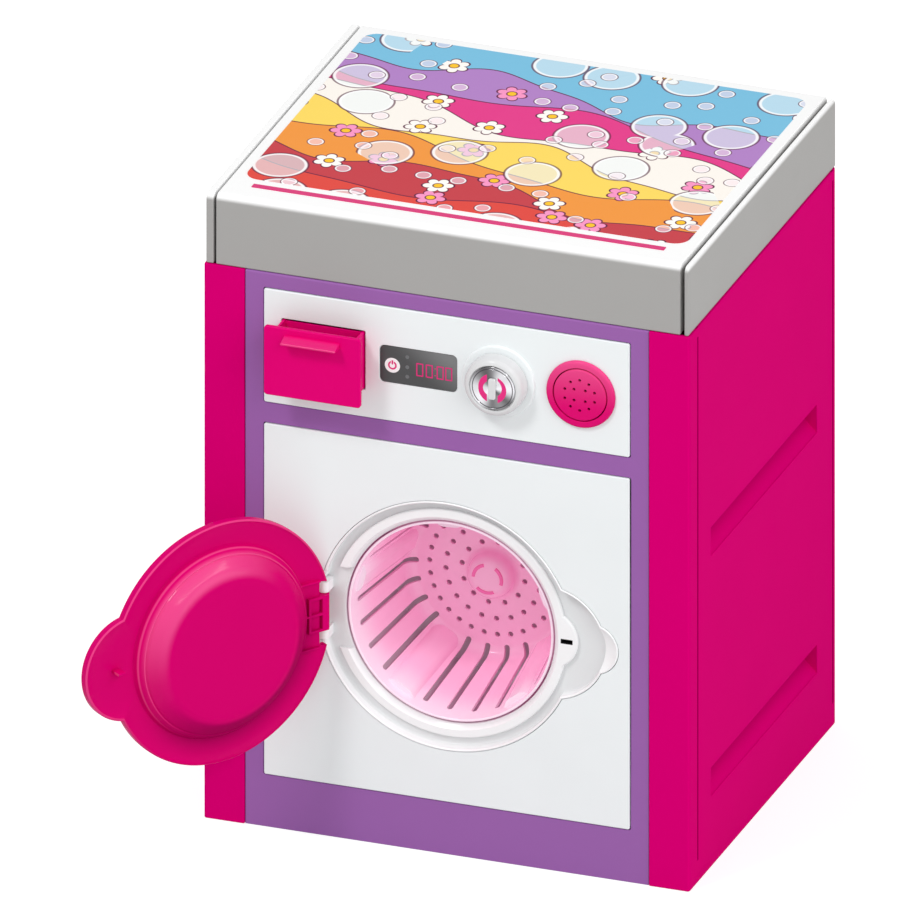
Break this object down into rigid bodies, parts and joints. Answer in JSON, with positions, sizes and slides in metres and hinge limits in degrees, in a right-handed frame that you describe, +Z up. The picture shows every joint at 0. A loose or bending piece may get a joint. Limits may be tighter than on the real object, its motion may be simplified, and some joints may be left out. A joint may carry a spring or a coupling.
{
  "type": "toy washing machine",
  "caption": "Upright toy washing machine with an open hinged porthole door, a turning drum, a sliding detergent drawer, a programme knob and a sound button.",
  "frame": {"origin": "middle of the base plate's underside", "axes": "+Z up, -Y towards the front with the door and controls, +X to the right as seen from the front"},
  "size_m": [0.3251, 0.3945, 0.4003],
  "materials": {
    "pink_plastic": "glossy moulded pink",
    "purple_plastic": "satin moulded purple",
    "white_plastic": "glossy moulded white",
    "grey_plastic": "plain moulded grey",
    "black_plastic": "plain moulded black",
    "drum_plastic": "see-through pink",
    "gear_plastic": "natural acetal",
    "chrome": "bright chrome",
    "steel": "plain zinc-plated steel",
    "motor_case": "plain can",
    "brass": "turned",
    "board": "solder-masked board",
    "label": "printed label",
    "display": "printed smoked label",
    "cell": "printed sleeve"
  },
  "bodies": {
    "case": {"base_plate": "white_plastic", "side_panel_right": "pink_plastic", "side_panel_left": "pink_plastic", "back_panel": "pink_plastic", "front_frame": "purple_plastic", "control_fascia": "white_plastic", "door_fascia": "white_plastic", "top_cover": "white_plastic", "top_end_plate_left": "white_plastic", "top_end_plate_right": "white_plastic", "top_label": "label", "top_stripe": "label", "porthole_ring": "white_plastic", "latch_clip": "white_plastic", "hinge_pin": "steel", "outer_tub": "grey_plastic", "shaft_bush": "brass", "gear_bracket": "grey_plastic", "idler_pin": "steel", "motor": "motor_case", "drawer_guide": "white_plastic", "display_label": "display", "rotary_switch": "black_plastic", "sound_bezel": "pink_plastic", "button_spring": "steel", "tact_switch": "black_plastic", "speaker": "black_plastic", "circuit_board": "board", "battery_box": "black_plastic", "battery_cover": "pink_plastic", "contact_plate_left": "steel", "contact_plate_right": "steel", "cover_screw": "steel", "battery_1": "cell", "battery_2": "cell", "battery_3": "cell", "back_screw_1": "steel", "back_screw_2": "steel", "back_screw_3": "steel", "back_screw_4": "steel"},
    "door": {"door": "pink_plastic"},
    "drum": {"drum": "drum_plastic", "drum_shaft": "steel", "drum_gear": "gear_plastic"},
    "idler": {"idler_gear": "gear_plastic"},
    "pinion": {"motor_pinion": "brass", "motor_shaft": "steel"},
    "drawer": {"drawer": "pink_plastic"},
    "knob": {"knob": "white_plastic", "knob_disc": "chrome", "knob_pointer": "white_plastic", "switch_shaft": "white_plastic"},
    "button": {"sound_button": "pink_plastic"}
  },
  "joints": [
    {"name": "door_hinge", "type": "hinge", "parent": "case", "child": "door", "pos_m": [-0.075, -0.1275, 0.14625], "axis": [0, 0, 1], "range_deg": [-24, 126]},
    {"name": "drum_spin", "type": "hinge", "parent": "case", "child": "drum", "pos_m": [0, -0.05, 0.14625], "axis": [0, 1, 0], "continuous": true},
    {"name": "idler_spin", "type": "hinge", "parent": "case", "child": "idler", "pos_m": [0, -0.031, 0.18525], "axis": [0, 1, 0], "continuous": true},
    {"name": "motor_spin", "type": "hinge", "parent": "case", "child": "pinion", "pos_m": [0, -0.031, 0.20625], "axis": [0, 1, 0], "continuous": true},
    {"name": "drawer_slide", "type": "slide", "parent": "case", "child": "drawer", "axis": [0, -1, 0], "range_m": [-0.016, 0.035]},
    {"name": "knob_turn", "type": "hinge", "parent": "case", "child": "knob", "pos_m": [0.03232, -0.13, 0.30865], "axis": [0, 1, 0], "range_deg": [-150, 150]},
    {"name": "button_press", "type": "slide", "parent": "case", "child": "button", "axis": [0, 1, 0], "range_m": [0, 0.0025], "stiffness_N_per_m": 300}
  ],
  "couplings": [
    {"joint": "idler_spin", "follows": "drum_spin", "ratio": -1.6},
    {"joint": "motor_spin", "follows": "drum_spin", "ratio": 4}
  ]
}
